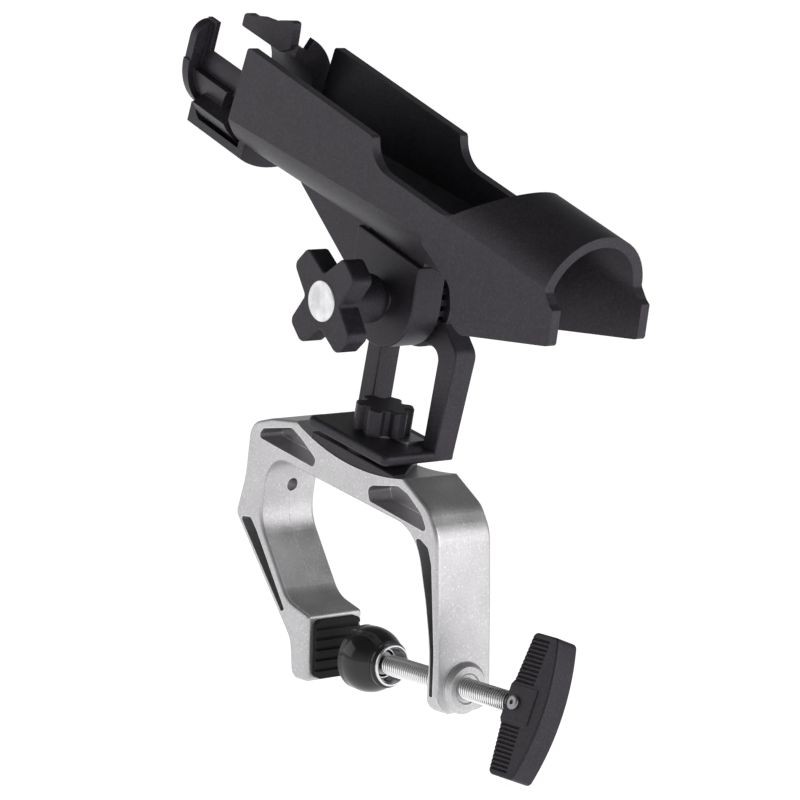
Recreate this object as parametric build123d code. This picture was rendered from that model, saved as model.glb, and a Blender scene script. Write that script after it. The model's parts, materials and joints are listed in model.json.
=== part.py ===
"""Clamp-on fishing rod holder: a cast C-clamp, a swivel bracket and a tilting rod cradle.

Part frame, millimetres: the origin is the centre of the fixed jaw's face on the clamp
screw's axis, +X runs along the screw towards its handle, +Z is up, Y is the clamp's width.

Two local frames hang on it. The bracket frame has its origin where the pan axis meets the
underside of the swivel plate, with the pan axis as its Z. The cradle frame has its X along
the trough, pointing to the hooded rear, and hangs on the bracket frame.
"""

from build123d import *
import math
import os

# Frames
PAN_LEAN = 11.1          # degrees the pan axis leans towards the handle
PAN_ORIGIN = (25.5, 0, 103.4)
TROUGH_PITCH = 8.4       # degrees the trough's rim rises to the front, seen from the plate
TROUGH_ORIGIN = (-0.6, 0, 117.9)
BRACKET = Location(PAN_ORIGIN, (0, PAN_LEAN, 0))
CRADLE = BRACKET * Location(TROUGH_ORIGIN, (0, TROUGH_PITCH, 0))

# Clamp
CLAMP_WIDTH = 33.0
CLAMP_EDGE = 2.0         # rounding of the casting's outline
POCKET_DEPTH = 13.5
CORD_HOLE_RADIUS = 3.2   # hole through the left arm for a safety cord
JAW_BACK = -3.0          # face of the casting behind the jaw pad
BOSS_RADIUS = 11.0
BOSS_FACE = 95.4
BOSS_INNER = 82.5
SADDLE_RADIUS = 133.0    # hollow in the top bar that the swivel base sits in
SADDLE_DEPTH = -9.3      # its lowest line, in the bracket frame
SADDLE_CENTRE = -3.0

# Screw, M10 x 1.5
SCREW_RADIUS = 5.0
THREAD_PITCH = 1.5
THREAD_DEPTH = 0.85
THREAD_START = 37.0
THREAD_END = 127.0
RUNNING_FIT = 0.05
BALL_X = 28.5
BALL_RADIUS = 4.6
NECK_RADIUS = 3.2

# Pressure pad
PAD_FACE = 18.0
PAD_RADIUS = 15.6
PAD_TOP = 39.4
PAD_TOP_RADIUS = 11.1
CUP_RADIUS = 9.9
CUP_RIM = 41.4

# T-handle of the screw
HANDLE_TURN = 22.0       # degrees about the screw
HANDLE_HALF = 33.2
HANDLE_THICK = 12.6
HANDLE_INNER = 130.6
HANDLE_TIP = 147.5
HANDLE_CROWN = 153.2
HUB_START = 127.5
HUB_END = 146.0
HUB_HALF = 8.2           # half the height of the block round the screw
HUB_RISE = 0.5           # how far it stands out of the wings
PIN_X = 134.0
PIN_HEAD = 3.4
GROOVE_COUNT = 11        # on each wing
GROOVE_PITCH = 2.0

# Bolts, M8 x 1.25
BOLT_RADIUS = 4.0
BOLT_BORE = BOLT_RADIUS + RUNNING_FIT
HEX_ACROSS = 13.0        # across the flats of the bolt head and the nut

# Swivel bracket
PLATE_LENGTH = 60.2
PLATE_RIGHT = 29.4
PLATE_WIDTH = 40.8
PLATE_THICK = 5.1
LEG_NEAR = 8.6
LEG_FAR = 20.4
TILT_X = -1.75
TILT_Z = 71.5
BRACKET_HUB = 24.0
NUT_SEAT = Location((TILT_X, 15, TILT_Z), (-90, 0, 0))
SADDLE_TOP = -3.4        # top of the saddle block
DISC_TOP = -0.1
DISC_RADIUS = 15.5

# Cradle hub
HUB_NEAR = -12.0
CRADLE_HUB = 23.0
TOOTH_ROOT = 4.6
TOOTH_TIP = 7.1
BRACKET_TOOTH_TIP = 7.4
BRACKET_TOOTH_ROOT = 9.9
TOOTH_COUNT = 24

# Trough
HALF_WIDTH = 28.5
WALL = 4.8
RIM = 28.0
FRONT_RIM = 29.0
FRONT = -110.5
STEP = -10.0
LOW_RIM = 16.0
HOOD_CENTRE = 10.2       # of the round inside
HOOD_TOP = 38.7
HOOD_REAR = 121.8
TROUGH_END = 66.0
CREASE_FRONT = -8.3
CREASE_RISE = 0.07
FLOOR_FRONT = -26.0
FLOOR_RISE = 0.04

# Locking ring and the tongue that carries it
RING_CENTRE = 4.5
RING_BORE = 17.9
RING_NEAR = 20.5         # outer radius of the sleeve on the near side
RING_FAR = 23.2          # and on the far side
RING_FLANGE = 28.0
RING_BELLY = 31.6         # outer radius of the part that rides in the tray
REAR_FLANGE = 29.5
RING_FRONT = -157.0
FAR_FRONT = -147.6        # the far side of the ring starts further back
LIP_THICK = 5.0
LIP_BACK = -148.7
LIP_TOP = 24.5
OPEN_FROM = 80           # the opening, in degrees about the ring from +Y towards +Z
OPEN_TO = 160
RING_BACK = -113.4
TONGUE_INNER = 33.9
TONGUE_OUTER = 37.5
TONGUE_LIP = 29.2
TONGUE_HALF = 18.3
TONGUE_TIP = -155.2
BULKHEAD_BORE = 22.5

# Knobs
TILT_KNOB_FRONT = -46.6
TILT_KNOB_BACK = -36.0
TILT_BOSS_RADIUS = 11.6
TILT_BOSS_END = -13.2
TILT_KNOB_TURN = 51.5
PAN_KNOB_RADIUS = 13.6
PAN_KNOB_BASE = 6.7
PAN_KNOB_TOP = 19.2


def outline(corners):
    """Closed face from (x, y, corner radius) corners."""
    points = [(x, y) for x, y, _ in corners]
    radii = [radius for _, _, radius in corners]
    with BuildSketch() as sketch:
        with BuildLine():
            FilletPolyline(*points, radius=radii, close=True)
        make_face()
    return sketch.sketch


def side_plate(corners, y_low, y_high):
    """Plate whose outline lies in the X-Z plane, between two values of Y."""
    plate = extrude(Plane.XZ * outline(corners), amount=y_low - y_high)
    return Pos(0, y_low, 0) * plate


def rod_x(radius, x_low, x_high, y=0.0, z=0.0):
    """Cylinder along X."""
    return Pos((x_low + x_high) / 2, y, z) * Rot(0, 90, 0) * Cylinder(radius, x_high - x_low)


def rod_y(radius, y_low, y_high, x=0.0, z=0.0):
    """Cylinder along Y."""
    return Pos(x, (y_low + y_high) / 2, z) * Rot(90, 0, 0) * Cylinder(radius, y_high - y_low)


def rod_z(radius, z_low, z_high, x=0.0, y=0.0):
    """Cylinder along Z."""
    return Pos(x, y, (z_low + z_high) / 2) * Cylinder(radius, z_high - z_low)


def block(x_low, x_high, y_low, y_high, z_low, z_high):
    """Box between two corners."""
    centre = ((x_low + x_high) / 2, (y_low + y_high) / 2, (z_low + z_high) / 2)
    return Pos(*centre) * Box(x_high - x_low, y_high - y_low, z_high - z_low)


def turned(profile):
    """Solid of revolution about X from (x, radius) points."""
    face = make_face(Polyline(*profile, close=True))
    return revolve(face, axis=Axis.X)


def hex_z(across, z_low, z_high):
    """Hexagonal prism along Z."""
    return Pos(0, 0, z_low) * extrude(RegularPolygon(across / 2, 6, major_radius=False), z_high - z_low)


# ---------------------------------------------------------------- clamp


def saddle_tool():
    """Large cylinder that hollows the top bar, in the part frame."""
    tool = rod_y(SADDLE_RADIUS, -40, 40, x=SADDLE_CENTRE, z=SADDLE_DEPTH + SADDLE_RADIUS)
    return BRACKET * tool


def clamp_pockets():
    """Outlines of the pockets that lighten the casting, the same on both sides."""
    top_left = [
        (-46.8, 97.2, 2), (-42.2, 101.7, 3), (-20, 105.2, 4),
        (-12.6, 101.2, 4), (-0.8, 92.8, 2), (-3, 88.8, 2),
    ]
    top_right = [
        (38, 85, 2.5), (41.5, 87.2, 2.5), (60, 89.8, 5), (67, 87.4, 5),
        (77.2, 79.8, 4), (81.2, 73, 1.5), (78.8, 72, 1), (39.8, 79.6, 2.5),
    ]
    right_arm = [
        (73.8, 67.6, 0.8), (76.8, 68.2, 1.5), (82.8, 65, 3), (85.6, 57.5, 10), (89.5, 16, 60),
        (89.5, -3.2, 1), (87.1, -3.2, 1), (86.9, 19, 60), (81.8, 40, 60), (78, 57.5, 10),
    ]
    left_arm = [
        (-58.4, 56.4, 1.2), (-50.2, 57.2, 2.5), (-44.9, 51, 8), (-21.5, 16.5, 1), (-24.3, 15.6, 1),
    ]
    return [top_left, top_right, right_arm, left_arm]


def clamp_frame():
    """Cast aluminium C-frame with its jaw, bosses, pockets and bolt seat."""
    half = CLAMP_WIDTH / 2
    outer = [
        (JAW_BACK, -15, 1.5), (-15.5, -15, 5), (-17.5, 3, 14), (-63, 57.5, 5), (-56.3, 77, 40),
        (-53.2, 103, 10), (-37, 107.2, 30), (-17, 108.8, 2), (61, 95.4, 4), (82, 82.2, 14),
        (88.8, 71, 20), (90.8, 38, 150), (92.8, -12, 3),
    ]
    inner = [
        (84.3, -12, 3), (85.5, 18, 100), (81.2, 40, 100), (72.6, 71.2, 22), (-38.6, 90, 14.5),
        (-43.8, 57.5, 22), (-20, 21.5, 16), (JAW_BACK, 17, 2),
    ]
    frame = side_plate(outer + inner, -half, half)
    rims = frame.faces().sort_by(Axis.Y)
    frame = fillet(rims[0].edges() + rims[-1].edges(), CLAMP_EDGE)
    frame -= saddle_tool()
    for pocket in clamp_pockets():
        frame -= side_plate(pocket, -half - 1, POCKET_DEPTH - half)
        frame -= side_plate(pocket, half - POCKET_DEPTH, half + 1)
    frame -= arm_end_corners(half)
    frame += boss(BOSS_RADIUS, 88, BOSS_FACE)
    frame += rod_x(9, BOSS_INNER, 88)
    frame -= rod_x(SCREW_RADIUS + RUNNING_FIT, 70, 100)
    frame -= rod_x(CORD_HOLE_RADIUS, -60, -30, y=1.5, z=73)
    frame -= BRACKET * rod_z(BOLT_RADIUS, -40, 0)
    frame -= BRACKET * hex_z(HEX_ACROSS, -40, -19.2)
    return frame


def arm_end_corners(half):
    """The two lower corners that are rounded off the end of the right arm."""
    radius = 11.0
    low = -12.0
    corner = block(80, 96, half - radius, half + 1, low - 1, low + radius)
    corner -= rod_x(radius, 79, 97, y=half - radius, z=low + radius)
    return corner + mirror(corner, Plane.XZ)


def boss(radius, x_low, x_high):
    """Round boss with a broken outer edge."""
    skirt = [(x_low, 0), (x_low, radius + 1.4), (x_high - 2.2, radius + 1.2), (x_high - 0.8, radius)]
    face = [(x_high, radius - 0.8), (x_high, 7.4), (x_high - 0.9, 6.6), (x_high - 0.9, 0)]
    return turned(skirt + face)


def jaw_pad():
    """Ribbed rubber pad on the fixed jaw."""
    pad = block(JAW_BACK, 0, -13, 13, -13.5, 15)
    pad = fillet(pad.edges().filter_by(Axis.X), 3)
    for z in range(-9, 12, 5):
        pad -= block(-1, 0.1, -14, 14, z - 0.8, z + 0.8)
    return pad


def saddle_block():
    """Block under the swivel plate, rounded below to fit the hollow, its far corner cut away."""
    half = CLAMP_WIDTH / 2 - 0.4
    plan = outline([(-30, -half, 0), (32, -half, 0), (32, -9, 0), (11, half, 3), (-30, half, 0)])
    body = Pos(0, 0, -14) * extrude(plan, 14 + SADDLE_TOP)
    body = chamfer(body.edges().group_by(Axis.Z)[-1], 0.5)
    body &= rod_y(SADDLE_RADIUS, -40, 40, x=SADDLE_CENTRE, z=SADDLE_DEPTH + SADDLE_RADIUS)
    body -= rod_z(BOLT_RADIUS, -40, 0)
    return BRACKET * body


def friction_disc():
    """Round disc that the swivel plate turns on."""
    disc = rod_z(DISC_RADIUS, SADDLE_TOP, DISC_TOP)
    disc = chamfer(disc.edges().group_by(Axis.Z)[-1], 0.8)
    disc -= rod_z(BOLT_RADIUS, -10, 10)
    return BRACKET * disc


def pan_bolt():
    """Hexagon bolt that stands up through the bar, the base and the plate."""
    bolt = hex_z(HEX_ACROSS - 0.2, -24.4, -19.2) + rod_z(BOLT_RADIUS, -19.2, 16)
    bolt = chamfer(bolt.edges().group_by(Axis.Z)[-1], 0.8)
    return BRACKET * bolt


# ---------------------------------------------------------------- screw and pad


def clamp_screw():
    """Threaded screw with a necked ball at the pad's end."""
    root_radius = SCREW_RADIUS - THREAD_DEPTH
    neck_end = THREAD_START - 1.6
    profile = [(BALL_X, 0), (BALL_X, NECK_RADIUS), (neck_end, NECK_RADIUS), (THREAD_START, root_radius)]
    turns = round((THREAD_END - THREAD_START) / THREAD_PITCH)
    for turn in range(turns):
        crest = THREAD_START + (turn + 0.5) * THREAD_PITCH
        root = THREAD_START + (turn + 1) * THREAD_PITCH
        profile += [(crest - 0.12, SCREW_RADIUS), (crest + 0.12, SCREW_RADIUS), (root, root_radius)]
    end = profile[-1][0]
    profile += [(end, 4.2), (142, 4.2), (142, 0)]
    ball = Pos(BALL_X, 0, 0) * Sphere(BALL_RADIUS)
    screw = turned(profile) + ball
    return handle_frame() * screw - handle_frame() * pin_bore()


def handle_frame():
    """Turn of the handle about the screw: its wings lie along Z before it."""
    return Location((0, 0, 0), (-HANDLE_TURN, 0, 0))


def pin_bore():
    """Cross hole for the pin that holds the handle on the screw."""
    return rod_y(1.5, -12, 12, x=PIN_X)


def clamp_handle():
    """T-handle with ribbed wings and a smooth crowned back."""
    half = HANDLE_THICK / 2
    wing = [
        (HANDLE_TIP, HANDLE_HALF), (HANDLE_INNER + 1, HANDLE_HALF),
        (HANDLE_INNER - 1.6, 10.5), (HUB_START, 8),
    ]
    other_wing = [(x, -z) for x, z in reversed(wing)]
    with BuildSketch() as sketch:
        with BuildLine():
            Polyline(*wing, *other_wing)
            ThreePointArc(other_wing[-1], (HANDLE_CROWN, 0), wing[0])
        make_face()
    bar = extrude(Plane.XZ * sketch.sketch, amount=half, both=True)
    ends = [edge for edge in bar.edges().filter_by(Axis.Y) if abs(edge.center().Z) > 30]
    bar = fillet(ends, 2.8)
    sides = bar.faces().sort_by(Axis.Y)
    bar = fillet(sides[0].edges() + sides[-1].edges(), 0.9)
    for groove in handle_grooves(half):
        bar -= groove
        bar -= mirror(groove, Plane.XZ)
    hub = block(HUB_START, HUB_END, -half - HUB_RISE, half + HUB_RISE, -HUB_HALF, HUB_HALF)
    bar += chamfer(hub.faces().sort_by(Axis.X)[0].edges(), 1.0)
    bar -= rod_x(4.2, 120, 142)
    bar -= pin_bore()
    return handle_frame() * bar


def handle_grooves(half):
    """Grooves across one side of both wings, stopping short of the smooth back."""
    groove_face = outline([(-0.7, -0.05, 0), (0, 0.95, 0), (0.7, -0.05, 0)])
    grooves = []
    for wing in (-1, 1):
        for row in range(GROOVE_COUNT):
            reach = 14.6 + 0.12 * row
            height = wing * (10.2 + GROOVE_PITCH * row)
            plane = Plane((HUB_START, half, height), x_dir=(0, 0, 1), z_dir=(1, 0, 0))
            grooves.append(extrude(plane * groove_face, amount=reach))
    return grooves


def handle_pin():
    """Socket-head pin through the handle and the screw."""
    seat = -HANDLE_THICK / 2 - HUB_RISE
    head = rod_y(PIN_HEAD, seat - 1.7, seat, x=PIN_X)
    head = fillet(head.edges().group_by(Axis.Y)[0], 1.1)
    pin = head + rod_y(1.5, seat, -seat, x=PIN_X)
    pin -= Pos(PIN_X, seat - 1.8, 0) * Rot(-90, 0, 0) * extrude(RegularPolygon(1.25, 6), 1.3)
    return handle_frame() * pin


def pressure_pad():
    """Domed pad that presses on the board, with a seat for the screw's ball."""
    with BuildSketch() as sketch:
        with BuildLine():
            Polyline((PAD_TOP, 0), (PAD_FACE, 0), (PAD_FACE, PAD_RADIUS - 1.2), (PAD_FACE + 1.2, PAD_RADIUS),
                     (22, PAD_RADIUS))
            ThreePointArc((22, PAD_RADIUS), (30.6, 14.7), (36.2, 11.2))
            Polyline((36.2, 11.2), (36.6, 10.5), (37.4, 10.5), (37.8, PAD_TOP_RADIUS),
                     (PAD_TOP - 0.4, PAD_TOP_RADIUS), (PAD_TOP, PAD_TOP_RADIUS - 0.4), (PAD_TOP, 0))
        make_face()
    pad = revolve(sketch.sketch, axis=Axis.X)
    pad -= Pos(BALL_X, 0, 0) * Sphere(BALL_RADIUS + RUNNING_FIT)
    pad -= rod_x(6.6, BALL_X + 1.5, 33.8)
    pad -= rod_x(CUP_RADIUS, 33.8, 40)
    return pad


def pad_cup():
    """Pressed steel cup let into the top of the pad."""
    outside = [(33.8, 6.6), (33.8, CUP_RADIUS), (CUP_RIM - 0.4, CUP_RADIUS), (CUP_RIM, CUP_RADIUS - 0.3)]
    inside = [(CUP_RIM, CUP_RADIUS - 0.9), (37.2, 7.6), (34.9, 6.9), (34.9, 6.6)]
    return turned(outside + inside)


def pad_clip():
    """Ring round the screw's neck that keeps the ball in the pad."""
    return rod_x(5.4, 33.4, 34.6) - rod_x(NECK_RADIUS + RUNNING_FIT, 33, 35)


# ---------------------------------------------------------------- swivel bracket


def toothed_ring(y_root, y_tip, turn):
    """Crown of radial teeth round the tilt axis, in the bracket frame."""
    pitch = 360 / TOOTH_COUNT
    corners = [(15.5, -0.9, 0), (20.2, -1.4, 0), (20.2, 1.4, 0), (15.5, 0.9, 0)]
    tooth = side_plate(corners, min(y_root, y_tip), max(y_root, y_tip))
    axis = Pos(TILT_X, 0, TILT_Z)
    return [axis * Rot(0, turn + pitch * number, 0) * tooth for number in range(TOOTH_COUNT)]


def swivel_bracket():
    """Plate, two legs and tilt hub, moulded in one piece."""
    half_width = PLATE_WIDTH / 2
    plate = block(PLATE_RIGHT - PLATE_LENGTH, PLATE_RIGHT, -half_width, half_width, 0, PLATE_THICK)
    near_corners = [edge for edge in plate.edges().filter_by(Axis.Z) if edge.center().Y < 0]
    plate = fillet(near_corners, 3.5)
    plate = fillet(plate.edges().group_by(Axis.Z)[-1], 2.2)
    plate = fillet(plate.edges().group_by(Axis.Z)[0], 1.2)
    loop = [
        (-30.4, 0.8, 1), (-29.6, 45, 30), (TILT_X - BRACKET_HUB + 0.3, TILT_Z, 0),
        (TILT_X + BRACKET_HUB - 1.5, TILT_Z - 6, 0), (33.6, 53.5, 7), (29.2, 0.8, 1),
    ]
    window = [(-20.2, 4.6, 2), (20.4, 4.6, 5), (21, 52, 6), (-19.8, 52, 6)]
    legs = side_plate(loop, LEG_NEAR, LEG_FAR) - side_plate(window, LEG_NEAR - 1, LEG_FAR + 1)
    legs = fillet(legs.faces().sort_by(Axis.Y)[0].edges(), 0.8)
    hub = rod_y(BRACKET_HUB, BRACKET_TOOTH_ROOT, LEG_FAR, x=TILT_X, z=TILT_Z)
    hub = fillet(hub.edges().sort_by(Axis.Y)[-1], 1.2)
    body = plate + legs + hub
    for tooth in toothed_ring(BRACKET_TOOTH_ROOT + 0.5, BRACKET_TOOTH_TIP, 360 / TOOTH_COUNT / 2):
        body += tooth
    body -= rod_y(13.5, 0, BRACKET_TOOTH_ROOT + 1, x=TILT_X, z=TILT_Z)
    body -= rod_z(BOLT_BORE, -1, 10)
    body -= rod_y(BOLT_BORE, 0, 30, x=TILT_X, z=TILT_Z)
    body -= NUT_SEAT * hex_z(HEX_ACROSS, 0, 10)
    return BRACKET * body


def tilt_nut():
    """Hexagon nut held in the far face of the bracket's hub."""
    nut = hex_z(HEX_ACROSS - 0.2, 0, 6.4) - Cylinder(BOLT_BORE, 30)
    return BRACKET * NUT_SEAT * nut


# ---------------------------------------------------------------- knobs


def star_face(lobes, reach, root, tip, valley):
    """Star of tapered lobes, root and tip being their widths, with rounded tips and valleys."""
    star = Circle(valley)
    arm = outline([
        (0, -root / 2, 0), (reach, -tip / 2, tip * 0.3), (reach, tip / 2, tip * 0.3), (0, root / 2, 0),
    ])
    for lobe in range(lobes):
        star += Rot(0, 0, 360 / lobes * lobe) * arm
    inner = [vertex for vertex in star.vertices() if math.hypot(vertex.X, vertex.Y) < valley + 1.5]
    return fillet(inner, tip * 0.15)


def on_tilt_axis(shape):
    """Stands a shape built along Z on the tilt axis, its Z turned to -Y."""
    return BRACKET * Pos(TILT_X, 0, TILT_Z) * Rot(90, 0, 0) * shape


def tilt_knob():
    """Four-lobed knob with a bullet-shaped boss towards the hub."""
    front = -TILT_KNOB_FRONT
    back = -TILT_KNOB_BACK
    end = -TILT_BOSS_END
    star = Rot(0, 0, TILT_KNOB_TURN) * star_face(4, 25.2, 21, 13.4, 12)
    head = Pos(0, 0, back) * extrude(star, front - back)
    head = fillet(head.faces().sort_by(Axis.Z)[-1].edges(), 1.1)
    boss_body = Pos(0, 0, end) * extrude(Circle(TILT_BOSS_RADIUS), back - end + 0.5)
    boss_body = fillet(boss_body.edges().sort_by(Axis.Z)[0], 6.8)
    knob = head + boss_body
    knob -= Pos(0, 0, front - 2.4) * extrude(Circle(9.5), 5)
    knob -= extrude(Circle(BOLT_RADIUS), front)
    return on_tilt_axis(knob)


def tilt_knob_cap():
    """Metal disc let into the front of the tilt knob."""
    front = -TILT_KNOB_FRONT
    cap = Pos(0, 0, front - 2.4) * extrude(Circle(9.5), 3.0)
    cap = fillet(cap.edges().sort_by(Axis.Z)[-1], 0.7)
    return on_tilt_axis(cap)


def tilt_bolt():
    """Stud fixed in the tilt knob, through both hubs and into the nut."""
    stud = Pos(0, 0, -23) * extrude(Circle(BOLT_RADIUS), 23 - TILT_KNOB_FRONT - 2.4)
    stud = chamfer(stud.edges().sort_by(Axis.Z)[0], 0.8)
    return on_tilt_axis(stud)


def tilt_washer():
    """Washer between the knob's boss and the cradle's hub."""
    washer = Pos(0, 0, -HUB_NEAR + 0.1) * extrude(Circle(7.5) - Circle(BOLT_BORE), 1.0)
    return on_tilt_axis(washer)


def pan_knob():
    """Small six-lobed nut knob that locks the pan."""
    star = star_face(6, PAN_KNOB_RADIUS, 8.6, 7.2, 9.8)
    knob = Pos(0, 0, PAN_KNOB_BASE) * extrude(star, PAN_KNOB_TOP - PAN_KNOB_BASE)
    knob = fillet(knob.faces().sort_by(Axis.Z)[-1].edges(), 0.9)
    knob -= Pos(0, 0, PAN_KNOB_BASE - 1) * extrude(Circle(6.5), 9.5)
    knob -= rod_z(BOLT_RADIUS + 0.4, 0, 17)
    return BRACKET * knob


def pan_knob_insert():
    """Threaded brass bush pressed into the pan knob."""
    bush = rod_z(6.5, PAN_KNOB_BASE, PAN_KNOB_BASE + 8.5) - rod_z(BOLT_BORE, 0, 40)
    return BRACKET * bush


def pan_washer():
    """Washer between the pan knob and the plate, with a tab that the far leg keeps from turning."""
    low = PLATE_THICK + 0.1
    high = PLATE_THICK + 1.5
    tab = block(0, 18.0, 0, 12.4, low, high)
    tab = fillet(tab.edges().filter_by(Axis.Z).sort_by(Axis.X)[-2:], 2)
    washer = rod_z(8.5, low, high) + tab - rod_z(BOLT_BORE, 0, 40)
    return BRACKET * washer


# ---------------------------------------------------------------- cradle


def trough_section(along, inset):
    """Cross-section of the trough at one station: flat sides above a round floor."""
    half = HALF_WIDTH - inset
    crease = CREASE_FRONT + CREASE_RISE * (along - FRONT) + 0.2 * inset
    floor = FLOOR_FRONT + FLOOR_RISE * (along - FRONT) + inset
    with BuildSketch(Plane((along, 0, 0), x_dir=(0, 1, 0), z_dir=(1, 0, 0))) as sketch:
        with BuildLine():
            Polyline((half, crease), (half, 40), (-half, 40), (-half, crease))
            ThreePointArc((-half, crease), (0, floor), (half, crease))
        make_face()
    return sketch.sketch


def trough_outer():
    """Front two thirds of the cradle before it is hollowed."""
    envelope = loft([trough_section(FRONT - 6, 0), trough_section(TROUGH_END, 0)])
    profile = [
        (FRONT - 3.5, -45, 0), (FRONT, FRONT_RIM, 2), (STEP, RIM, 2), (-5, LOW_RIM, 16),
        (TROUGH_END, LOW_RIM, 0), (TROUGH_END, -45, 0),
    ]
    return envelope & side_plate(profile, -40, 40)


def hood_outer():
    """Hooded rear and its two side skirts before they are hollowed; the arch springs at the low rim."""
    arch = (HOOD_TOP ** 2 - HALF_WIDTH ** 2 - LOW_RIM ** 2) / (2 * (HOOD_TOP - LOW_RIM))
    envelope = rod_x(HOOD_TOP - arch, 30, 140, z=arch) & block(30, 140, -40, 40, LOW_RIM, 50)
    envelope += block(30, 140, -HALF_WIDTH, HALF_WIDTH, -45, LOW_RIM)
    profile = [
        (40, LOW_RIM, 0), (51, LOW_RIM, 14), (82, 45, 0), (HOOD_REAR, 45, 0), (HOOD_REAR, 14.6, 3),
        (127, 10.4, 2.5), (129.9, 9, 1), (133, -6.3, 2), (79.5, -27.6, 5), (72.2, -26, 5),
        (64.5, -10.5, 8), (40, -2, 0),
    ]
    return envelope & side_plate(profile, -40, 40)


def cradle_hollow():
    """Inside of the trough, the hood and the open space between the skirts."""
    inner = HALF_WIDTH - WALL
    hollow = loft([trough_section(FRONT - 10, WALL), trough_section(TROUGH_END + 1, WALL)])
    hollow -= block(48, 80, -40, 40, HOOD_CENTRE, 50)
    dome = rod_x(inner, 30, 140, z=HOOD_CENTRE) & block(30, 140, -40, 40, HOOD_CENTRE, 50)
    hollow += dome
    hollow += block(TROUGH_END, 140, -inner, inner, -45, HOOD_CENTRE + 0.01)
    return hollow


def ring_sector(radius_low, radius_high, angle_low, angle_high, x_low, x_high):
    """Part of a tube about the ring's axis; angles run from +Y towards +Z."""
    face = Circle(radius_high) - Circle(radius_low)
    span = angle_high - angle_low
    reach = radius_high * 1.5
    steps = math.ceil(span / 60)
    wedge = [(0, 0)]
    for step in range(steps + 1):
        ray = math.radians(angle_low + span * step / steps)
        wedge.append((reach * math.cos(ray), reach * math.sin(ray)))
    face &= make_face(Polyline(*wedge, close=True))
    plane = Plane((x_low, 0, RING_CENTRE), x_dir=(0, 1, 0), z_dir=(1, 0, 0))
    return extrude(plane * face, amount=x_high - x_low)


def ring_tongue():
    """Tray below the locking ring, with a front lip and a rear bulkhead."""
    bulkhead = RING_BACK + 0.6
    root = FRONT + 2
    profile = outline([
        (TONGUE_TIP, TONGUE_LIP, 0), (TONGUE_TIP + 3.4, TONGUE_LIP, 0),
        (TONGUE_TIP + 5.6, TONGUE_INNER - 1.4, 0), (TONGUE_TIP + 8.6, TONGUE_INNER, 0),
        (bulkhead, TONGUE_INNER, 0), (bulkhead, BULKHEAD_BORE, 0), (root, BULKHEAD_BORE, 0),
        (root, TONGUE_OUTER, 0), (TONGUE_TIP, TONGUE_OUTER, 0),
    ])
    tray = Pos(0, 0, RING_CENTRE) * Rot(90, 0, 0) * revolve(profile, axis=Axis.X)
    return tray & block(TONGUE_TIP, FRONT + 4, -TONGUE_HALF, TONGUE_HALF, -45, 0)


def cradle_hub():
    """Tilt hub, its neck to the trough and the fin in front of it, in the bracket frame."""
    boss_body = rod_y(CRADLE_HUB, HUB_NEAR, TOOTH_ROOT, x=TILT_X, z=TILT_Z)
    plate = [
        (TILT_X - CRADLE_HUB, TILT_Z, 0), (-26, 99.3, 1),
        (20.8, 92.6, 1), (TILT_X + CRADLE_HUB, TILT_Z, 0),
    ]
    body = boss_body + side_plate(plate, HUB_NEAR, TOOTH_ROOT)
    near_edges = body.faces().sort_by(Axis.Y)[0].edges()
    body = fillet(near_edges, 1.0)
    neck = [(-24, 80, 0), (-27, 106, 0), (21, 99.2, 0), (19, 80, 0)]
    body += side_plate(neck, HUB_NEAR + 3.5, TOOTH_ROOT)
    fin = [(-80.5, 108.8, 2), (-30.5, 76.4, 4), (-20, 76, 0), (-20, 105, 0)]
    body += side_plate(fin, HUB_NEAR + 2.2, HUB_NEAR + 8.2)
    for tooth in toothed_ring(TOOTH_ROOT - 0.5, TOOTH_TIP, 0):
        body += tooth
    body -= rod_y(13.5, TOOTH_ROOT - 1.2, 20, x=TILT_X, z=TILT_Z)
    body -= rod_y(BOLT_BORE, -30, 30, x=TILT_X, z=TILT_Z)
    return body


def cradle():
    """Rod cradle: trough, hood, skirts, tongue and tilt hub, moulded in one piece."""
    shell = trough_outer() + hood_outer() + ring_tongue()
    body = CRADLE * shell + BRACKET * cradle_hub()
    return body - CRADLE * cradle_hollow()


def locking_ring():
    """C-shaped ring in front of the trough that turns to close over the rod."""
    back_of_plate = RING_FRONT + LIP_THICK
    ring = ring_sector(RING_BORE, RING_FLANGE, 180, 330, RING_FRONT, back_of_plate)
    ring += near_lip() + near_pad()
    ring += ring_sector(RING_BORE, RING_NEAR, OPEN_TO, 200, RING_FRONT, RING_BACK)
    ring += ring_sector(RING_BORE, RING_FAR, 224, 330, back_of_plate, RING_BACK)
    ring += ring_sector(RING_BORE, RING_FAR, 320, 360 + OPEN_FROM, FAR_FRONT, RING_BACK)
    ring += ring_sector(RING_BORE, REAR_FLANGE, 218, 425, -117, RING_BACK)
    ring += ring_sector(RING_BORE, RING_BELLY, 216, 264, -145.5, -118.5)
    ring += thumb_bar()
    return CRADLE * ring


def near_lip():
    """Upright blade on the near side of the ring's opening."""
    inner = RING_BORE - 0.8
    outer = RING_FLANGE - 0.8
    blade = outline([(outer, 2, 0), (outer, LIP_TOP, 8.5), (inner, LIP_TOP, 1), (inner, 2, 0)])
    plane = Plane((RING_FRONT, 0, 0), x_dir=(0, -1, 0), z_dir=(-1, 0, 0))
    lip = extrude(plane * blade, amount=-LIP_THICK)
    return lip + block(RING_FRONT + 1, LIP_BACK, -inner - 2.6, -inner, 2, LIP_TOP + 1.1)


def near_pad():
    """Thicker part of the ring's near side, cut off at a slant towards the rear."""
    pad = ring_sector(RING_BORE, 24.6, 190, 232, RING_FRONT + LIP_THICK - 1, -115)
    slant = [(-160, 6, 0), (-121.5, 6, 0), (-122.5, 1, 0), (-136, -21, 0), (-160, -21, 0)]
    return pad & side_plate(slant, -40, 0)


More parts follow.
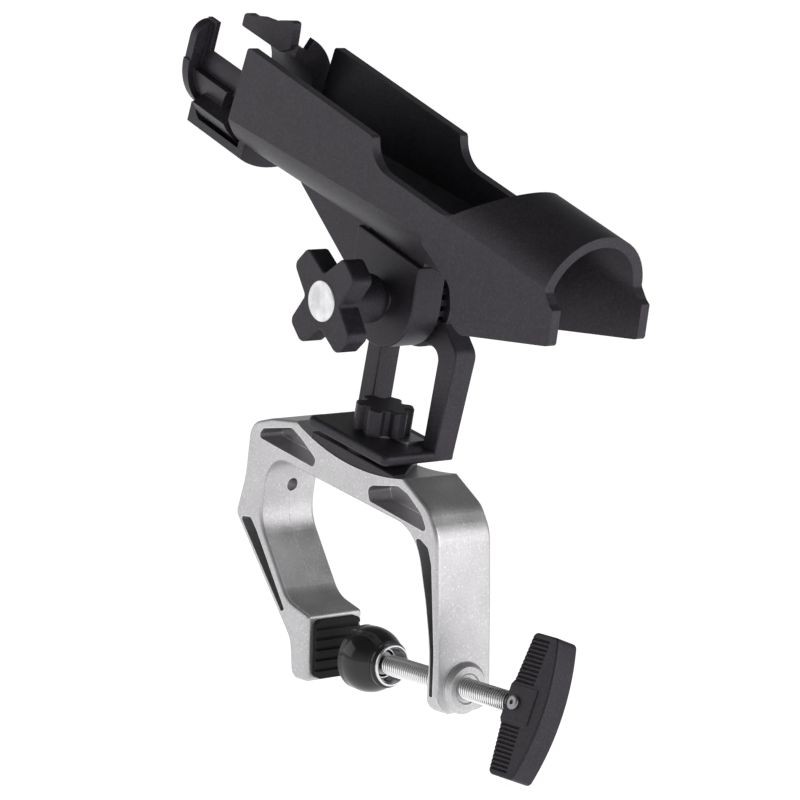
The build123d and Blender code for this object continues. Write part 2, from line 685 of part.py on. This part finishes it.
def thumb_bar():
    """Bar along the far edge of the opening, with two waves for the thumb that turns the ring."""
    bar = outline([
        (RING_FRONT, 20.6, 1), (RING_FRONT, 28, 3), (-150.8, 28.2, 1), (-145, 30.2, 3), (-137, 31.6, 3),
        (-131.8, 32.6, 3), (-130.2, 34.4, 1), (-122.2, 37.6, 2), (-119.2, 37.7, 1.2), (-118.4, 34, 1),
        (-117.2, 25, 0), (-124, 20.6, 0),
    ])
    return Pos(0, 2.4, 0) * extrude(Plane.XZ * bar, amount=-4.6)


NODES = {
    "clamp_frame": clamp_frame,
    "jaw_pad": jaw_pad,
    "saddle_block": saddle_block,
    "friction_disc": friction_disc,
    "pan_bolt": pan_bolt,
    "clamp_screw": clamp_screw,
    "clamp_handle": clamp_handle,
    "handle_pin": handle_pin,
    "pressure_pad": pressure_pad,
    "pad_cup": pad_cup,
    "pad_clip": pad_clip,
    "swivel_bracket": swivel_bracket,
    "tilt_nut": tilt_nut,
    "tilt_knob": tilt_knob,
    "tilt_knob_cap": tilt_knob_cap,
    "tilt_bolt": tilt_bolt,
    "tilt_washer": tilt_washer,
    "pan_knob": pan_knob,
    "pan_knob_insert": pan_knob_insert,
    "pan_washer": pan_washer,
    "cradle": cradle,
    "locking_ring": locking_ring,
}


def main():
    """Writes one STEP file for each node."""
    os.makedirs("parts", exist_ok=True)
    for name, build in NODES.items():
        export_step(build(), f"parts/{name}.step")


main()
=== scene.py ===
import json
import math

import bmesh
import bpy
from mathutils import Matrix, Vector
from mathutils.bvhtree import BVHTree


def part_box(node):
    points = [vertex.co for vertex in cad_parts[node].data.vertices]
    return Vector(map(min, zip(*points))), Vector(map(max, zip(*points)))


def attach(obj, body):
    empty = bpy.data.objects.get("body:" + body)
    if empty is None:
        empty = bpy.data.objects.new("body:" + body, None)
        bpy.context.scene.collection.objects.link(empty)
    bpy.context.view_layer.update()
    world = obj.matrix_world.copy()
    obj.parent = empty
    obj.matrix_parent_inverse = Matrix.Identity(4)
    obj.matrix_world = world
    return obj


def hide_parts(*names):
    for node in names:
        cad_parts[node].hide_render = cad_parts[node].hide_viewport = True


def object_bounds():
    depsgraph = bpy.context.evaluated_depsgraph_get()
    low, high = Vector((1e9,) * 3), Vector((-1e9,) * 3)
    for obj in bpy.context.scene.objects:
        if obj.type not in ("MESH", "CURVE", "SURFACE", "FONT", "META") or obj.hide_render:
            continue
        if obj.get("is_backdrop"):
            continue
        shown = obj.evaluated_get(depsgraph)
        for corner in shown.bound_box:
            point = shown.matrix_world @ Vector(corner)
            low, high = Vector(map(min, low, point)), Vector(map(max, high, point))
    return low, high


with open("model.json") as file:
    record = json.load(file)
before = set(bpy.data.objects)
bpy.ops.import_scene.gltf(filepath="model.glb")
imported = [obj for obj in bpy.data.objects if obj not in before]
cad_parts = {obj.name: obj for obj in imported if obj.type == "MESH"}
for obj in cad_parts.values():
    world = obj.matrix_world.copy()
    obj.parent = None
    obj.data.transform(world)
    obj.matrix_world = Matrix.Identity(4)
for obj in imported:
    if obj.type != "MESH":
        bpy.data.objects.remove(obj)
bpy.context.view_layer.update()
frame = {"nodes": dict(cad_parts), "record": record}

# The looks of the clamp-on rod holder: materials for every CAD node, a helical screw thread,
# the casting's parting line, a soft studio and the camera.

MM = 0.001

# Camera: where it stands and how it is turned, for an 800 x 800 picture
CAMERA_PLACE = Vector((1.24246, -1.00050, 0.36271))
CAMERA_RIGHT = Vector((0.63496, 0.77175, 0.03504))
CAMERA_UP = Vector((-0.13778, 0.06849, 0.98809))
CAMERA_LENS = 153.86

# Screw, M10 x 1.5
THREAD_PITCH = 1.5 * MM
THREAD_RADIUS = 5.0 * MM
THREAD_DEPTH = 0.85 * MM
THREAD_START = 37.5 * MM
THREAD_END = 126.5 * MM
NECK_RADIUS = 3.2 * MM
BALL_RADIUS = 4.6 * MM
BALL_CENTRE = 28.5 * MM
SHANK_RADIUS = 4.2 * MM
SHANK_END = 142.0 * MM
SCREW_SIDES = 56
RINGS_PER_PITCH = 10

# Parting line on the inside of the casting
RIDGE_PLACE = 1.2 * MM
RIDGE_HALF_WIDTH = 0.35 * MM
RIDGE_RISE = 0.16 * MM
RIDGE_SINK = 0.1 * MM
RIDGE_WOBBLE = 0.25 * MM
RIDGE_STEPS = 150
RIDGE_FROM_DEGREES = 8
RIDGE_TO_DEGREES = 212
RIDGE_BREAK = 8 * MM
THROAT_SHARE_ALONG = 0.44
THROAT_SHARE_UP = 0.50

# Looks
PLASTIC_ROUGHNESS = 0.46
PLASTIC_DARK = (0.0095, 0.0083, 0.0108)
PLASTIC_LIGHT = (0.0150, 0.0132, 0.0165)
PLASTIC_GRAIN = 1500
PLASTIC_EDGE = 0.5 * MM
METAL_DARK = (0.475, 0.465, 0.475)
METAL_LIGHT = (0.575, 0.565, 0.575)
METAL_PITS = (0.34, 0.335, 0.345)
METAL_SPARKLE = (0.84, 0.83, 0.85)
METAL_EDGE = (0.93, 0.93, 0.94)

# Studio
FLOOR_REACH = 30.0
FLOOR_DROP = 1 * MM
FLOOR_GLOW = 0.85
WORLD_STRENGTH = 0.66
WORLD_OVERHEAD = 0.22
KEY_LIGHT_OFFSET = Vector((-1.1, -1.1, 0.50))
KEY_LIGHT_SIZE = (1.3, 0.9)
KEY_LIGHT_POWER = 3.2
SIDE_LIGHT_OFFSET = Vector((1.4, 0.5, 0.35))
SIDE_LIGHT_SIZE = (1.0, 0.9)
SIDE_LIGHT_POWER = 9


# ---------------------------------------------------------------- node helpers


def new_material(name):
    """Empty node material with its shader and output, and the node tree to add to."""
    material = bpy.data.materials.new(name)
    material.use_nodes = True
    tree = material.node_tree
    shader = tree.nodes["Principled BSDF"]
    return material, tree, shader


def object_coords(tree):
    return tree.nodes.new("ShaderNodeTexCoord").outputs["Object"]


def noise(tree, coords, scale, detail=3.0, roughness=0.55):
    node = tree.nodes.new("ShaderNodeTexNoise")
    node.inputs["Scale"].default_value = scale
    node.inputs["Detail"].default_value = detail
    node.inputs["Roughness"].default_value = roughness
    tree.links.new(coords, node.inputs["Vector"])
    return node.outputs["Fac"]


def ramp(tree, value, low, high, start, end):
    """Maps a value from low..high to start..end, held at both ends."""
    node = tree.nodes.new("ShaderNodeMapRange")
    node.inputs["From Min"].default_value = low
    node.inputs["From Max"].default_value = high
    node.inputs["To Min"].default_value = start
    node.inputs["To Max"].default_value = end
    tree.links.new(value, node.inputs["Value"])
    return node.outputs["Result"]


def mix_colors(tree, factor, first, second):
    node = tree.nodes.new("ShaderNodeMix")
    node.data_type = "RGBA"
    tree.links.new(factor, node.inputs["Factor"])
    for socket, value in (("A", first), ("B", second)):
        target = [s for s in node.inputs if s.name == socket and s.type == "RGBA"][0]
        if isinstance(value, tuple):
            target.default_value = (*value, 1)
        else:
            tree.links.new(value, target)
    return [s for s in node.outputs if s.type == "RGBA"][0]


def bump(tree, height, strength, distance, normal=None):
    node = tree.nodes.new("ShaderNodeBump")
    node.inputs["Strength"].default_value = strength
    node.inputs["Distance"].default_value = distance
    tree.links.new(height, node.inputs["Height"])
    if normal is not None:
        tree.links.new(normal, node.inputs["Normal"])
    return node.outputs["Normal"]


def rounded_normal(tree, radius):
    """Normal that rounds the shading over sharp edges."""
    node = tree.nodes.new("ShaderNodeBevel")
    node.samples = 4
    node.inputs["Radius"].default_value = radius
    return node.outputs["Normal"]


def edge_factor(tree, radius):
    """0 on flat faces, towards 1 on edges within the radius."""
    rounded = rounded_normal(tree, radius)
    geometry = tree.nodes.new("ShaderNodeNewGeometry")
    dot = tree.nodes.new("ShaderNodeVectorMath")
    dot.operation = "DOT_PRODUCT"
    tree.links.new(rounded, dot.inputs[0])
    tree.links.new(geometry.outputs["Normal"], dot.inputs[1])
    return ramp(tree, dot.outputs["Value"], 1.0, 0.82, 0.0, 1.0)


# ---------------------------------------------------------------- materials


def moulded_plastic():
    """Black moulded plastic: fine spark-eroded grain, faint mottling, and a painted highlight
    along the edges.
    """
    material, tree, shader = new_material("black_plastic_look")
    shader.inputs["Specular IOR Level"].default_value = 0.42
    shader.inputs["Specular Tint"].default_value = (0.93, 0.87, 0.97, 1)
    coords = object_coords(tree)
    patches = ramp(tree, noise(tree, coords, 95, 4), 0.35, 0.65, 0, 1)
    base = mix_colors(tree, patches, PLASTIC_DARK, PLASTIC_LIGHT)
    fleck = ramp(tree, noise(tree, coords, 1000, 2, 0.8), 0.50, 0.68, 0, 1)
    flecked = tuple(2.2 * part for part in PLASTIC_LIGHT)
    base = mix_colors(tree, fleck, base, flecked)
    # The edges are lightened in the base colour: a painted highlight along the rounded edges.
    painted_edge_highlight = tuple(part + 0.016 for part in flecked)
    base = mix_colors(tree, edge_factor(tree, PLASTIC_EDGE), base, painted_edge_highlight)
    tree.links.new(base, shader.inputs["Base Color"])
    fine = noise(tree, coords, PLASTIC_GRAIN, 2, 0.7)
    gloss = ramp(tree, fine, 0.3, 0.7, PLASTIC_ROUGHNESS - 0.05, PLASTIC_ROUGHNESS + 0.07)
    tree.links.new(gloss, shader.inputs["Roughness"])
    normal = bump(tree, fine, 0.5, 0.08 * MM, rounded_normal(tree, PLASTIC_EDGE))
    tree.links.new(normal, shader.inputs["Normal"])
    return material


def cast_aluminium():
    """Sand-blasted cast aluminium with a fine sparkle and brighter, smoother edges."""
    material, tree, shader = new_material("cast_aluminium_look")
    coords = object_coords(tree)
    grain = noise(tree, coords, 1050, 3, 0.8)
    cloud = ramp(tree, noise(tree, coords, 60, 5), 0.3, 0.7, 0, 1)
    base = mix_colors(tree, cloud, METAL_DARK, METAL_LIGHT)
    base = mix_colors(tree, ramp(tree, grain, 0.42, 0.30, 0, 0.5), base, METAL_PITS)
    base = mix_colors(tree, ramp(tree, grain, 0.56, 0.68, 0, 0.7), base, METAL_SPARKLE)
    base = mix_colors(tree, edge_factor(tree, 0.9 * MM), base, METAL_EDGE)
    tree.links.new(base, shader.inputs["Base Color"])
    shader.inputs["Metallic"].default_value = 0.92
    tree.links.new(ramp(tree, cloud, 0, 1, 0.36, 0.46), shader.inputs["Roughness"])
    normal = bump(tree, grain, 0.28, 0.05 * MM, rounded_normal(tree, 0.5 * MM))
    tree.links.new(normal, shader.inputs["Normal"])
    return material


def plated_steel(name, color, roughness):
    """Bright plated steel with faint smears."""
    wear = 0.12
    material, tree, shader = new_material(name)
    coords = object_coords(tree)
    smear = noise(tree, coords, 420, 4)
    shaded = tuple(0.86 * part for part in color)
    tint = mix_colors(tree, ramp(tree, smear, 0.3, 0.7, 0, 1), shaded, color)
    tree.links.new(tint, shader.inputs["Base Color"])
    shader.inputs["Metallic"].default_value = 1.0
    gloss = ramp(tree, smear, 0.25, 0.75, roughness, roughness + wear)
    tree.links.new(gloss, shader.inputs["Roughness"])
    normal = bump(tree, smear, 0.06, 0.03 * MM, rounded_normal(tree, 0.15 * MM))
    tree.links.new(normal, shader.inputs["Normal"])
    return material


def threaded_steel():
    """Zinc-plated screw, bright plated steel on the thread's crests and darkened by painted shade
    in its grooves.
    """
    material, tree, shader = new_material("threaded_steel_look")
    coords = object_coords(tree)
    parts = tree.nodes.new("ShaderNodeSeparateXYZ")
    tree.links.new(coords, parts.inputs["Vector"])
    across = tree.nodes.new("ShaderNodeCombineXYZ")
    tree.links.new(parts.outputs["Y"], across.inputs["Y"])
    tree.links.new(parts.outputs["Z"], across.inputs["Z"])
    reach = tree.nodes.new("ShaderNodeVectorMath")
    reach.operation = "LENGTH"
    tree.links.new(across.outputs["Vector"], reach.inputs[0])
    groove = THREAD_RADIUS - THREAD_DEPTH
    crest = ramp(tree, reach.outputs["Value"], groove + 0.15 * MM, THREAD_RADIUS - 0.2 * MM, 0, 1)
    smear = noise(tree, coords, 420, 4)
    # The thread's grooves get a near-black painted shade; its crests stay bright plated steel.
    tint = mix_colors(tree, crest, (0.035, 0.034, 0.036), (0.90, 0.90, 0.91))
    tree.links.new(tint, shader.inputs["Base Color"])
    shader.inputs["Metallic"].default_value = 1.0
    tree.links.new(ramp(tree, smear, 0.25, 0.75, 0.14, 0.26), shader.inputs["Roughness"])
    return material


def gloss_black():
    """Polished black moulding of the pressure pad."""
    material, tree, shader = new_material("gloss_black_look")
    coords = object_coords(tree)
    haze = noise(tree, coords, 180, 4)
    cloud = ramp(tree, haze, 0.35, 0.65, 0, 1)
    shade = mix_colors(tree, cloud, (0.007, 0.007, 0.008), (0.011, 0.011, 0.012))
    tree.links.new(shade, shader.inputs["Base Color"])
    tree.links.new(ramp(tree, haze, 0.3, 0.7, 0.10, 0.17), shader.inputs["Roughness"])
    normal = bump(tree, haze, 0.03, 0.05 * MM, rounded_normal(tree, 0.3 * MM))
    tree.links.new(normal, shader.inputs["Normal"])
    return material


def matte_rubber():
    """Matte black rubber of the jaw pad and the friction disc."""
    material, tree, shader = new_material("rubber_look")
    coords = object_coords(tree)
    pores = noise(tree, coords, 1900, 3, 0.8)
    speckle = ramp(tree, pores, 0.35, 0.65, 0, 1)
    shade = mix_colors(tree, speckle, (0.012, 0.012, 0.012), (0.020, 0.020, 0.020))
    tree.links.new(shade, shader.inputs["Base Color"])
    shader.inputs["Specular IOR Level"].default_value = 0.3
    tree.links.new(ramp(tree, pores, 0.3, 0.7, 0.72, 0.88), shader.inputs["Roughness"])
    normal = bump(tree, pores, 0.3, 0.05 * MM, rounded_normal(tree, 0.25 * MM))
    tree.links.new(normal, shader.inputs["Normal"])
    return material


def satin_cap():
    """Silver cap of the tilt knob, with a satin bloom that is unevenly bright."""
    material, tree, shader = new_material("silver_cap_look")
    coords = object_coords(tree)
    bloom = noise(tree, coords, 130, 5)
    cloud = ramp(tree, bloom, 0.35, 0.65, 0, 1)
    base = mix_colors(tree, cloud, (0.60, 0.59, 0.61), (0.88, 0.87, 0.89))
    tree.links.new(base, shader.inputs["Base Color"])
    shader.inputs["Metallic"].default_value = 0.9
    tree.links.new(ramp(tree, bloom, 0.3, 0.7, 0.30, 0.44), shader.inputs["Roughness"])
    normal = bump(tree, bloom, 0.15, 0.2 * MM, rounded_normal(tree, 0.4 * MM))
    tree.links.new(normal, shader.inputs["Normal"])
    return material


def make_materials():
    """The looks by the record's slot names, and the screw's own look."""
    return {
        "cast_aluminium": cast_aluminium(),
        "thread": threaded_steel(),
        "zinc_steel": plated_steel("zinc_steel_look", (0.80, 0.80, 0.81), 0.16),
        "dark_steel": plated_steel("dark_steel_look", (0.34, 0.34, 0.35), 0.30),
        "brass": plated_steel("brass_look", (0.72, 0.53, 0.25), 0.26),
        "black_plastic": moulded_plastic(),
        "gloss_black": gloss_black(),
        "rubber": matte_rubber(),
        "silver_cap": satin_cap(),
    }


# ---------------------------------------------------------------- pieces


def mesh_object(name, build):
    """Object whose mesh the build function fills."""
    work = bmesh.new()
    build(work)
    bmesh.ops.recalc_face_normals(work, faces=work.faces)
    mesh = bpy.data.meshes.new(name)
    work.to_mesh(mesh)
    work.free()
    made = bpy.data.objects.new(name, mesh)
    bpy.context.scene.collection.objects.link(made)
    for face in mesh.polygons:
        face.use_smooth = True
    return made


def thread_radius(along, turn):
    """Radius of the thread at a place along the screw and an angle, one start, right-handed."""
    phase = ((along - THREAD_START) / THREAD_PITCH - turn / (2 * math.pi)) % 1.0
    flank = 1 - abs(2 * phase - 1)
    crest = min(1.0, max(0.0, flank * 1.25 - 0.05))
    fade = min(1.0, (along - THREAD_START) / THREAD_PITCH, (THREAD_END - along) / THREAD_PITCH)
    return THREAD_RADIUS - THREAD_DEPTH * (1 - crest * max(0.0, fade))


def screw_stations():
    """(x, radius or None for thread) along the screw, from the ball to the shank's end."""
    stations = []
    steps = 14
    neck_angle = math.asin(NECK_RADIUS / BALL_RADIUS)
    for step in range(1, steps + 1):
        angle = math.pi - (math.pi - neck_angle) * step / steps
        along = BALL_CENTRE + BALL_RADIUS * math.cos(angle)
        stations.append((along, BALL_RADIUS * math.sin(angle)))
    stations.append((THREAD_START - 1.6 * MM, NECK_RADIUS))
    rings = round((THREAD_END - THREAD_START) / THREAD_PITCH * RINGS_PER_PITCH)
    for ring in range(rings + 1):
        stations.append((THREAD_START + (THREAD_END - THREAD_START) * ring / rings, None))
    stations.append((THREAD_END + 0.3 * MM, SHANK_RADIUS))
    stations.append((SHANK_END, SHANK_RADIUS))
    return stations


def build_screw(work):
    """Ball, neck, helical thread and shank as one turned skin."""
    rows = []
    for along, radius in screw_stations():
        row = []
        for side in range(SCREW_SIDES):
            turn = 2 * math.pi * side / SCREW_SIDES
            reach = thread_radius(along, turn) if radius is None else radius
            row.append(work.verts.new((along, reach * math.cos(turn), reach * math.sin(turn))))
        rows.append(row)
    for near, far in zip(rows, rows[1:]):
        for side in range(SCREW_SIDES):
            after = (side + 1) % SCREW_SIDES
            work.faces.new((near[side], near[after], far[after], far[side]))
    tip = work.verts.new((BALL_CENTRE - BALL_RADIUS, 0, 0))
    end = work.verts.new((SHANK_END, 0, 0))
    for side in range(SCREW_SIDES):
        after = (side + 1) % SCREW_SIDES
        work.faces.new((tip, rows[0][after], rows[0][side]))
        work.faces.new((end, rows[-1][side], rows[-1][after]))


def helical_screw(looks):
    """The clamp screw with a true helical thread."""
    screw = mesh_object("clamp_screw_threaded", build_screw)
    screw.data.materials.append(looks["thread"])
    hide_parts("clamp_screw")
    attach(screw, "screw")


def node_surface(node):
    """Search tree of a CAD node's faces."""
    mesh = frame["nodes"][node].data
    corners = [vertex.co.copy() for vertex in mesh.vertices]
    return BVHTree.FromPolygons(corners, [tuple(face.vertices) for face in mesh.polygons])


def parting_points(surface):
    """Points on the inside of the C, found by looking outwards from the clamp's throat."""
    low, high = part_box("clamp_frame")
    throat_x = low.x + THROAT_SHARE_ALONG * (high.x - low.x)
    throat_z = low.z + THROAT_SHARE_UP * (high.z - low.z)
    middle = Vector((throat_x, RIDGE_PLACE, throat_z))
    found = []
    for step in range(RIDGE_STEPS + 1):
        swept = (RIDGE_TO_DEGREES - RIDGE_FROM_DEGREES) * step / RIDGE_STEPS
        angle = math.radians(RIDGE_FROM_DEGREES + swept)
        out = Vector((math.cos(angle), 0, math.sin(angle)))
        place, normal, _, _ = surface.ray_cast(middle, out)
        if place is not None and abs(normal.y) < 0.3:
            found.append((place, -normal if normal.dot(out) > 0 else normal))
    return found


def parting_line(looks):
    """Low ridge that the mould leaves along the inside of the casting."""
    points = parting_points(node_surface("clamp_frame"))

    def build(work):
        rows = []
        for step, (place, normal) in enumerate(points):
            wobble = RIDGE_WOBBLE * math.sin(step * 0.9) * math.sin(step * 0.23)
            centre = place + Vector((0, wobble, 0))
            across = Vector((0, RIDGE_HALF_WIDTH, 0))
            sunk = centre - normal * RIDGE_SINK
            section = (sunk - across, centre + normal * RIDGE_RISE, sunk + across)
            rows.append([work.verts.new(corner) for corner in section])
        for near, far in zip(rows, rows[1:]):
            if (near[1].co - far[1].co).length < RIDGE_BREAK:
                work.faces.new((near[0], near[1], far[1], far[0]))
                work.faces.new((near[1], near[2], far[2], far[1]))
                work.faces.new((near[2], near[0], far[0], far[2]))

    ridge = mesh_object("casting_parting_line", build)
    ridge.data.materials.append(looks["cast_aluminium"])
    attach(ridge, "clamp")


def dress_nodes(looks):
    """Gives each CAD node the look of its slot."""
    for part in frame["record"]["subparts"]:
        target = frame["nodes"][part["node"]]
        target.data.materials.clear()
        target.data.materials.append(looks[part["material_slot"]])


# ---------------------------------------------------------------- studio


def floor_material():
    """White paper floor that also glows a little, so that it stays pale under the soft light."""
    material, tree, shader = new_material("white_floor")
    coords = object_coords(tree)
    tone = mix_colors(tree, noise(tree, coords, 3, 2), (0.90, 0.90, 0.90), (0.93, 0.93, 0.93))
    tree.links.new(tone, shader.inputs["Base Color"])
    shader.inputs["Roughness"].default_value = 0.9
    shader.inputs["Specular IOR Level"].default_value = 0.1
    shader.inputs["Emission Color"].default_value = (1, 1, 1, 1)
    shader.inputs["Emission Strength"].default_value = FLOOR_GLOW
    return material


def make_floor():
    low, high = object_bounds()
    centre = (low + high) / 2
    drop = low.z - FLOOR_DROP

    def build(work):
        corners = []
        for a, b in ((-1, -1), (1, -1), (1, 1), (-1, 1)):
            place = (centre.x + a * FLOOR_REACH, centre.y + b * FLOOR_REACH, drop)
            corners.append(work.verts.new(place))
        work.faces.new(corners)

    floor = mesh_object("studio_floor", build)
    floor.data.materials.append(floor_material())
    floor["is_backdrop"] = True


def make_world():
    """White surroundings near the horizon that darken overhead."""
    world = bpy.data.worlds.new("studio_world")
    bpy.context.scene.world = world
    world.use_nodes = True
    tree = world.node_tree
    background = tree.nodes["Background"]
    coords = tree.nodes.new("ShaderNodeTexCoord")
    parts = tree.nodes.new("ShaderNodeSeparateXYZ")
    tree.links.new(coords.outputs["Generated"], parts.inputs["Vector"])
    height = ramp(tree, parts.outputs["Z"], 0.0, 0.6, 1.0, WORLD_OVERHEAD)
    shade = tree.nodes.new("ShaderNodeCombineColor")
    for channel in ("Red", "Green", "Blue"):
        tree.links.new(height, shade.inputs[channel])
    tree.links.new(shade.outputs["Color"], background.inputs["Color"])
    background.inputs["Strength"].default_value = WORLD_STRENGTH


def softbox(name, place, aim, size, power):
    """Large soft area light that faces a point."""
    data = bpy.data.lights.new(name, "AREA")
    data.shape = "RECTANGLE"
    data.size, data.size_y = size
    data.energy = power
    lamp = bpy.data.objects.new(name, data)
    bpy.context.scene.collection.objects.link(lamp)
    lamp.location = place
    lamp.rotation_mode = "QUATERNION"
    lamp.rotation_quaternion = (aim - place).to_track_quat("-Z", "Y")


def make_lights():
    low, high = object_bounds()
    centre = (low + high) / 2
    softbox("key_light", centre + KEY_LIGHT_OFFSET, centre, KEY_LIGHT_SIZE, KEY_LIGHT_POWER)
    softbox("side_light", centre + SIDE_LIGHT_OFFSET, centre, SIDE_LIGHT_SIZE, SIDE_LIGHT_POWER)


def make_camera():
    data = bpy.data.cameras.new("camera")
    data.lens = CAMERA_LENS
    data.sensor_width = 36
    data.clip_start = 0.05
    data.clip_end = 100
    camera = bpy.data.objects.new("camera", data)
    bpy.context.scene.collection.objects.link(camera)
    back = CAMERA_RIGHT.cross(CAMERA_UP)
    turn = Matrix((CAMERA_RIGHT, CAMERA_UP, back)).transposed().to_4x4()
    camera.matrix_world = Matrix.Translation(CAMERA_PLACE) @ turn
    bpy.context.scene.camera = camera


def main():
    looks = make_materials()
    dress_nodes(looks)
    helical_screw(looks)
    parting_line(looks)
    make_floor()
    make_world()
    make_lights()
    make_camera()
    bpy.context.scene.view_settings.view_transform = "Standard"


main()
